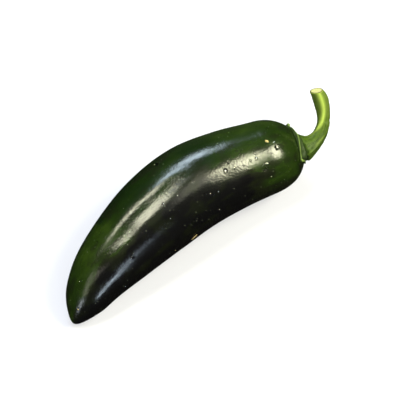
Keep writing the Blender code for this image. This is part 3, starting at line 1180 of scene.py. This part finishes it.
def makeFloor():
    mesh = bpy.data.meshes.new("floor")
    half = floorLook["half"] * mm
    corners = [(-half, -half, 0), (half, -half, 0), (half, half, 0), (-half, half, 0)]
    mesh.from_pydata(corners, [], [(0, 1, 2, 3)])
    floor = bpy.data.objects.new("floor", mesh)
    material, nodes, links = newMaterial("floorFinish")
    nodes.remove(nodes["Principled BSDF"])
    matt, both = nodes.new("ShaderNodeBsdfDiffuse"), nodes.new("ShaderNodeAddShader")
    glow, dim = nodes.new("ShaderNodeEmission"), nodes.new("ShaderNodeEmission")
    matt.inputs["Color"].default_value = (*floorLook["colour"], 1)
    glow.inputs["Color"].default_value = (1, 1, 1, 1)
    glow.inputs["Strength"].default_value = floorLook["lift"]
    links.new(matt.outputs[0], both.inputs[0])
    links.new(glow.outputs[0], both.inputs[1])
    way, parts = nodes.new("ShaderNodeTexCoord"), nodes.new("ShaderNodeSeparateXYZ")
    links.new(way.outputs["Object"], parts.inputs[0])
    ramps = (ramp(nodes, links, parts.outputs[axis], floorLook["farEnds"]) for axis in "XY")
    far = reckon(nodes, links, "MULTIPLY", *ramps)
    shine = mixColours(nodes, links, far, floorLook["mirrored"], floorLook["mirroredFar"])
    links.new(shine, dim.inputs["Color"])
    seen = onlyFor(nodes, links, "Is Camera Ray", matt.outputs[0], both.outputs[0])
    seen = onlyFor(nodes, links, "Is Glossy Ray", seen, dim.outputs[0])
    links.new(seen, nodes["Material Output"].inputs["Surface"])
    mesh.materials.append(material)
    bpy.context.scene.collection.objects.link(floor)


roomLook = {
    "seen": (0.95, 0.95, 0.95),
    "nearSide": (0.026, 0.022, 0.024),  # what the skin mirrors from the side of the ripe skin
    "farSide": (0.018, 0.024, 0.014),  # and from the green side
    "sideEnds": (-0.8, 0.9),  # from one side to the other
    "fill": (0.28, 0.29, 0.34),  # light from all round
}


def makeRoom():
    room = bpy.data.worlds.new("room")
    bpy.context.scene.world = room
    room.use_nodes = True
    nodes, links = room.node_tree.nodes, room.node_tree.links
    fill = nodes["Background"]
    seen, mirrored = nodes.new("ShaderNodeBackground"), nodes.new("ShaderNodeBackground")
    for node, colour in ((fill, roomLook["fill"]), (seen, roomLook["seen"])):
        node.inputs["Color"].default_value = (*colour, 1)
    way, parts = nodes.new("ShaderNodeTexCoord"), nodes.new("ShaderNodeSeparateXYZ")
    links.new(way.outputs["Generated"], parts.inputs[0])
    side = ramp(nodes, links, parts.outputs["Y"], roomLook["sideEnds"], smooth=False)
    colour = mixColours(nodes, links, side, roomLook["nearSide"], roomLook["farSide"])
    links.new(colour, mirrored.inputs["Color"])
    glossy = onlyFor(nodes, links, "Is Glossy Ray", fill.outputs[0], mirrored.outputs[0])
    shown = onlyFor(nodes, links, "Is Camera Ray", glossy, seen.outputs[0])
    links.new(shown, nodes["World Output"].inputs["Surface"])
    bpy.context.scene.view_settings.view_transform = "Standard"


lampDistance = 600.0
cream, paleCream, sky = (1.0, 0.98, 0.76), (1.0, 0.98, 0.80), (0.72, 0.87, 1.0)
# Each lamp is a soft panel: the direction of its middle as x and y of a unit vector, the place that it
# faces, its width and height, its turn about its own middle, its glow and its colour.
lamps = {
    "overhead": ((-0.30, 0.283), (-16, 1, 26), (228, 100), -8, 20.5, cream),
    "overheadTip": ((-0.056, 0.30), (-16, 1, 26), (90, 84), -8, 23.5, cream),
    "overheadEdge": ((-0.35, 0.43), (-16, 1, 26), (150, 80), -10, 2.0, cream),
    "rightWindow": ((0.55, -0.365), (22, -6, 25), (222, 262), 0, 29.0, (1.0, 0.98, 0.70)),
    "greyPanel": ((0.19, -0.20), (2, -2, 28), (220, 320), 0, 2.1, paleCream),
    "leftPanel": ((-0.22, -0.20), (-16, 1, 26), (320, 260), 0, 0.22, (1.0, 0.98, 0.85)),
    "blueWindow": ((0.385, 0.645), (0, 5, 28), (240, 142), 9, 16.5, sky),
    "blueWindowEnd": ((0.13, 0.505), (-8, 3, 28), (150, 130), 14, 15.5, sky),
    "lowBlue": ((-0.335, -0.87), (-35, -7, 18), (44, 240), -18, 10.5, sky),
    "lowBlueEnd": ((-0.405, -0.895), (-42, -7, 14), (80, 80), 0, 12.0, sky),
    "tipWindow": ((-0.81, -0.17), (-45, -4, 14), (290, 150), 44, 2.2, (1.0, 0.95, 0.8)),
    "tipGlint": ((-0.93, -0.335), (-50, -5, 10), (110, 110), 0, 9.0, (0.85, 0.93, 1.0)),
}


def makeLamps():
    for name, ((x, y), facing, size, spin, glow, colour) in lamps.items():
        way = Vector((x, y, math.sqrt(1 - x * x - y * y)))
        panel = bpy.data.lights.new(name, "AREA")
        panel.shape = "RECTANGLE"
        panel.size, panel.size_y = (length * mm for length in size)
        panel.color = colour
        panel.energy = glow * math.pi * panel.size * panel.size_y
        lamp = bpy.data.objects.new(name, panel)
        flat = (Vector((1, 0, 0)) - way.x * way).normalized()
        turned = Matrix((flat, way.cross(flat), way)).transposed().to_4x4()
        middle = Matrix.Translation((Vector(facing) + lampDistance * way) * mm)
        lamp.matrix_world = middle @ turned @ Matrix.Rotation(math.radians(spin), 4, "Z")
        lamp.visible_camera = False
        bpy.context.scene.collection.objects.link(lamp)


def main():
    makeCamera()
    pod = makePod()
    stem = makeStem(pod)
    corners = [vertex.co for vertex in pod.data.vertices]
    low, high = (Vector([pick(corner[i] for corner in corners) for i in range(3)]) for pick in (min, max))
    cadLow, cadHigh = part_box("pod")
    shift = (cadLow + cadHigh - low - high) / 2
    shift.z = 0
    for piece in (pod, stem):
        piece.data.transform(Matrix.Translation(shift))
    print("pod and stem made, shift to the frame", shift)
    skin = skinOf(pod)
    water, specksPiece, fibre = makeDrops(skin, shift / mm), makeSpecks(skin), makeFibre(skin)
    print("drops and specks made")
    mottle, grain = makeMottle(), makeGrain()
    dried = dryMaterial(mottle, grain)
    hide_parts("pod")
    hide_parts("stem")
    for piece, material, slot in (
        (pod, podMaterial(mottle, grain), "pod_skin"),
        (stem, stemMaterial(mottle, grain), "stem_skin"),
        (water, waterMaterial(), "pod_skin"),
        (specksPiece, dried, "stem_skin"),
        (fibre, dried, "stem_skin"),
    ):
        piece.data.materials.append(material)
        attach(piece, "root")
    print("finishes made")
    makeFloor()
    makeRoom()
    makeLamps()
    print("floor, room and lamps made")


main()
